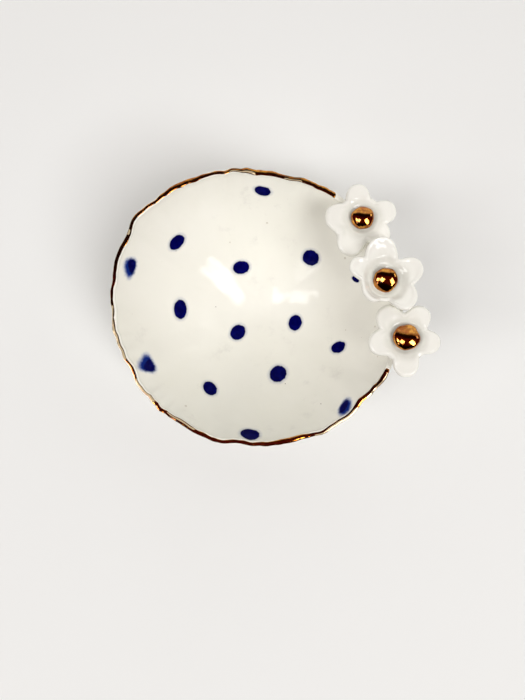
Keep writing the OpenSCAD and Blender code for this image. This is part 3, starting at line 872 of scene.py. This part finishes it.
def build_seat(f):
    """Joining slip: a saddle over the lip that rises to the flower's back and feathers out along the lip."""
    shift = min(0, FLAT_R - FLAT_MARGIN - f.inset - SEAT_SPREAD / 2)
    sections = []
    for t in np.linspace(-1, 1, SEAT_SECTIONS):
        a = f.angle + t * SEAT_HALF_TURN
        r = rim_r(a) + shift
        full = 1 - smooth(abs(t), 0.62, 1.0)
        foot_in = inner(1 - SEAT_IN * (0.35 + 0.65 * full), a)
        foot_out = outer(1 - SEAT_OUT * (0.3 + 0.7 * full), a)
        roof = []
        for x in (-SEAT_SPREAD / 2, SEAT_SPREAD / 2):
            p = polar(r + x, a, 0)
            p[2] = f.centre[2] - f.drop(p, f.centre)
            roof.append(p)
        crest_in, crest_out = lip(a, 120, 0.1), lip(a, 60, 0.1)
        top_in = crest_in + (roof[0] - crest_in) * full
        top_out = crest_out + (roof[1] - crest_out) * full
        side_in = bend(foot_in, lip(a, 170, 0.5), top_in, SEAT_CURVE)
        side_out = bend(top_out, lip(a, 20, 0.5), foot_out, SEAT_CURVE)
        hidden = [lip(a, b, -0.3) for b in (30, 90, 150)]
        sections.append(np.concatenate([side_in, side_out, hidden]))
    return bar("seat_" + f.name + "_slip", sections)


# Assemble: every piece stands for its node, rides on the root body and takes its finish
def dress(obj, material, slot, *nodes):
    obj.data.materials.append(material)
    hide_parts(*nodes)
    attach(obj, "root")


dress(build_bowl(), bowl_material(), "bowl_glaze", "bowl", "blue_dots")
gold = gold_material()
petal = flower_material()
slip = slip_material()
dress(build_gold(), gold, "gold_lustre", "gold_rim")
for number, flower in enumerate(FLOWERS):
    dress(build_flower(flower, 11 + number), petal, "flower_glaze", "flower_" + flower.name)
    dress(build_bead(flower, 21 + number), gold, "gold_lustre", "bead_" + flower.name)
    dress(build_seat(flower), slip, "joining_slip", "seat_" + flower.name)


# Floor: half its width in metres, and its place just under the foot
FLOOR_HALF = 3.0
FLOOR_Z = -0.05 * MM
FLOOR_SHADE = rgb(0.82, 0.83, 0.815)
FLOOR_WHITE = rgb(0.84, 0.85, 0.84)


def build_floor():
    h = FLOOR_HALF
    mesh = bpy.data.meshes.new("floor")
    mesh.from_pydata([(x, y, FLOOR_Z) for x, y in ((-h, -h), (h, -h), (h, h), (-h, h))], [], [(0, 1, 2, 3)])
    obj = bpy.data.objects.new("floor", mesh)
    bpy.context.scene.collection.objects.link(obj)
    t = Tree("floor_white")
    t.set(Base_Color=t.mix(t.noise(0.01, 3.0), FLOOR_SHADE, FLOOR_WHITE), Roughness=0.7)
    mesh.materials.append(t.material)


build_floor()


# Light: a tall window to the right, smaller ones to the left and far right, and a room brighter at the back.
# ROOM_DISTANCE is how far off the windows stand, in metres.
ROOM_DISTANCE = 4.0
WINDOW_COLOUR = (1.0, 1.0, 0.995)


def window(name, direction, half_up, half_side, radiance, twist=0):
    """A lit rectangle seen from the dish under the given half angles, in degrees."""
    data = bpy.data.lights.new(name, "AREA")
    data.shape = "RECTANGLE"
    data.size = 2 * ROOM_DISTANCE * math.tan(math.radians(half_side))
    data.size_y = 2 * ROOM_DISTANCE * math.tan(math.radians(half_up))
    data.energy = radiance * math.pi * data.size * data.size_y
    data.color = WINDOW_COLOUR
    obj = bpy.data.objects.new(name, data)
    d = Vector(direction).normalized()
    obj.location = d * ROOM_DISTANCE + Vector((0, 0, 0.5 * RIM_H * MM))
    turn = d.to_track_quat("Z", "Y").to_matrix() @ Matrix.Rotation(math.radians(twist), 3, "Z")
    obj.rotation_euler = turn.to_euler()
    bpy.context.scene.collection.objects.link(obj)


window("window_right", (0.44, -0.43, 0.79), 19, 9.5, 8.6)
window("window_left_high", (-0.46, -0.27, 0.83), 9.5, 8, 7.7, 20)
window("window_left_low", (-0.745, -0.21, 0.62), 8.5, 7.5, 7.2, -30)
window("window_left_far", (-0.72, -0.51, 0.47), 5, 4, 3.6)
window("window_right_far", (0.80, 0.20, 0.56), 9, 8, 1.6)

# Room colours by how far north a direction points, from 0 due south over 0.5 overhead to 1 due north.
# A direction's place in the list is 0.5 + 0.5 y + x (ROOM_EAST - ROOM_NARROW x): the bright part leans
# towards the east and narrows away from the middle.
ROOM = [(0.14, rgb(0.006, 0.002, 0.001)), (0.24, rgb(0.085, 0.008, 0.005)), (0.46, rgb(0.085, 0.008, 0.005)),
        (0.55, rgb(0.010, 0.003, 0.002)), (0.66, rgb(0.022, 0.008, 0.005)), (0.71, rgb(0.57, 0.56, 0.53)),
        (0.775, rgb(1.0, 0.985, 0.94)), (0.86, rgb(0.75, 0.745, 0.71)), (1.0, rgb(0.69, 0.69, 0.66))]
ROOM_NARROW = 0.10
ROOM_EAST = 0.07
BACKDROP = rgb(0.84, 0.84, 0.83)


def build_world():
    """The room as the dish sees it, and a plain pale backdrop for the camera."""
    world = bpy.data.worlds.new("room")
    bpy.context.scene.world = world
    world.use_nodes = True
    tree = world.node_tree
    tree.nodes.clear()
    out = tree.nodes.new("ShaderNodeOutputWorld")
    back = tree.nodes.new("ShaderNodeBackground")
    coords = tree.nodes.new("ShaderNodeTexCoord")
    split = tree.nodes.new("ShaderNodeSeparateXYZ")
    ramp = tree.nodes.new("ShaderNodeValToRGB")
    ramp.color_ramp.interpolation = "EASE"
    for k, (at, colour) in enumerate(ROOM):
        stop = ramp.color_ramp.elements[0] if k == 0 else ramp.color_ramp.elements.new(at)
        stop.position = at
        stop.color = colour
    ramp.color_ramp.elements.remove(ramp.color_ramp.elements[-1])
    tree.links.new(coords.outputs["Generated"], split.inputs[0])
    lean, north, place = (tree.nodes.new("ShaderNodeMath") for k in range(3))
    for n in (lean, north, place):
        n.operation = "MULTIPLY_ADD"
    tree.links.new(split.outputs["X"], lean.inputs[0])
    lean.inputs[1].default_value = -ROOM_NARROW
    lean.inputs[2].default_value = ROOM_EAST
    tree.links.new(split.outputs["Y"], north.inputs[0])
    north.inputs[1].default_value = 0.5
    north.inputs[2].default_value = 0.5
    tree.links.new(split.outputs["X"], place.inputs[0])
    tree.links.new(lean.outputs[0], place.inputs[1])
    tree.links.new(north.outputs[0], place.inputs[2])
    tree.links.new(place.outputs[0], ramp.inputs[0])
    tree.links.new(ramp.outputs[0], back.inputs["Color"])
    seen = tree.nodes.new("ShaderNodeBackground")
    seen.inputs["Color"].default_value = BACKDROP
    path = tree.nodes.new("ShaderNodeLightPath")
    choose = tree.nodes.new("ShaderNodeMixShader")
    tree.links.new(path.outputs["Is Camera Ray"], choose.inputs[0])
    tree.links.new(back.outputs[0], choose.inputs[1])
    tree.links.new(seen.outputs[0], choose.inputs[2])
    tree.links.new(choose.outputs[0], out.inputs["Surface"])


build_world()

# Camera: straight above the dish, a little towards the viewer, as the photograph was taken; in millimetres,
# with the photo's height and the focal length in pixels
PHOTO_H = 700
SENSOR = 36.0
FOCAL_PX = 526.0
CAMERA_ABOVE_RIM = 188.0
CAMERA_X, CAMERA_Y = 3.8, -15.4


def build_camera():
    data = bpy.data.cameras.new("camera")
    data.sensor_fit = "AUTO"
    data.sensor_width = SENSOR
    data.lens = SENSOR * FOCAL_PX / PHOTO_H
    data.clip_start = 0.01
    data.clip_end = 20
    obj = bpy.data.objects.new("camera", data)
    obj.location = Vector((CAMERA_X, CAMERA_Y, RIM_H + CAMERA_ABOVE_RIM)) * MM
    bpy.context.scene.collection.objects.link(obj)
    bpy.context.scene.camera = obj


build_camera()
bpy.context.scene.view_settings.view_transform = "Standard"
